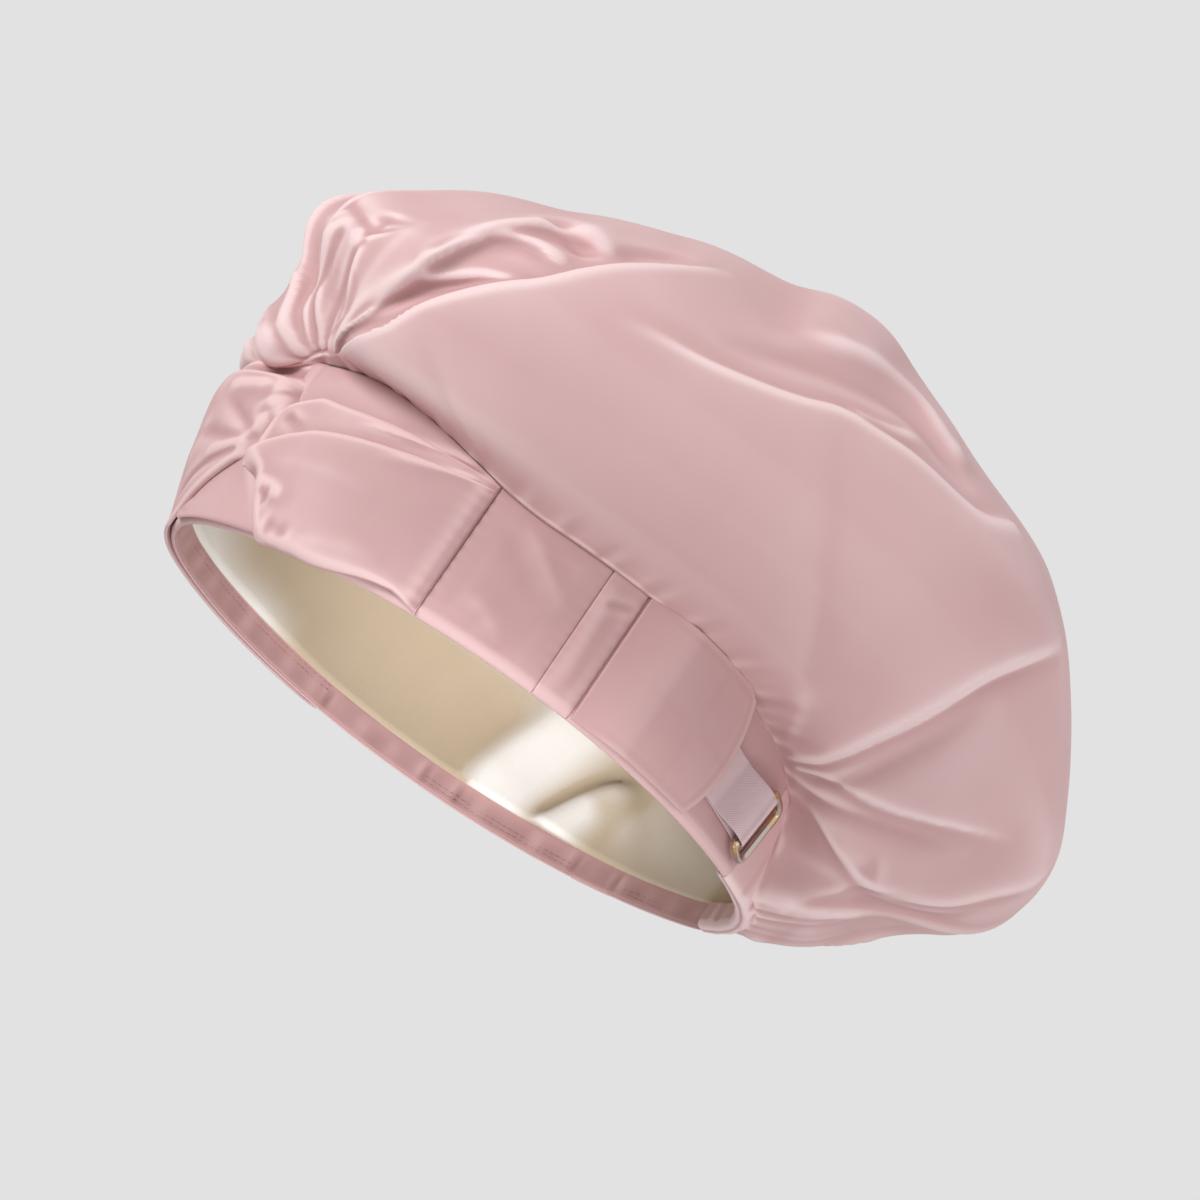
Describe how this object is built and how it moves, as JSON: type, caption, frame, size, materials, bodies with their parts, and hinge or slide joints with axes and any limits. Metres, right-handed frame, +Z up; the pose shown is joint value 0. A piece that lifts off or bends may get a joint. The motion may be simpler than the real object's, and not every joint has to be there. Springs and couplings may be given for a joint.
{
  "type": "shower cap",
  "caption": "Pleated turban-style shower cap with a cloth lining, a shaped band with crossed front wraps, an elastic back and a side strap with a metal ring.",
  "frame": {"origin": "centre of the head opening, on the plane of the rim", "axes": "+Z up from the rim to the crown, +Y to the back of the head, +X to the wearer's left, where the strap is"},
  "size_m": [0.2107, 0.2801, 0.1685],
  "materials": {
    "crown_cloth": "smooth coated pink cloth, soft sheen",
    "band_cloth": "smooth coated pink cloth, soft sheen",
    "wrap_cloth": "smooth coated pink cloth, soft sheen",
    "lining_cloth": "cream brushed cloth, matte",
    "ribbon": "lilac-grey woven ribbon, satin",
    "hook_tape": "hook tape, matte",
    "elastic": "knitted elastic, matte",
    "ring_metal": "polished plated wire"
  },
  "bodies": {
    "cap": {"crown_shell": "crown_cloth", "crown_lining": "lining_cloth", "front_panel": "band_cloth", "side_panel_left": "band_cloth", "keeper_left": "band_cloth", "rear_panel_left": "band_cloth", "back_casing": "band_cloth", "rear_end_right": "band_cloth", "keeper_right": "band_cloth", "rear_panel_right": "band_cloth", "side_panel_right": "band_cloth", "wrap_left": "wrap_cloth", "wrap_right": "wrap_cloth", "rim_facing": "band_cloth", "back_elastic": "elastic"},
    "tongue": {"strap_tongue": "band_cloth", "tongue_hook_pad": "hook_tape"},
    "tape": {"tape_loop": "ribbon"},
    "ring": {"adjuster_ring": "ring_metal"}
  },
  "joints": [
    {"name": "strap_peel", "type": "hinge", "parent": "cap", "child": "tongue", "pos_m": [0.07599, 0.01775, 0], "axis": [0, 0, -1], "range_deg": [0, 85]},
    {"name": "strap_adjust", "type": "hinge", "parent": "cap", "child": "tape", "pos_m": [-0.03508, 0, 0], "axis": [0, 0, 1], "range_deg": [-3, 4]},
    {"name": "ring_swing", "type": "hinge", "parent": "tape", "child": "ring", "pos_m": [0.04755, 0.07865, 0.016], "axis": [0.096, -0.1008, -0.9903], "range_deg": [0, 110]}
  ]
}
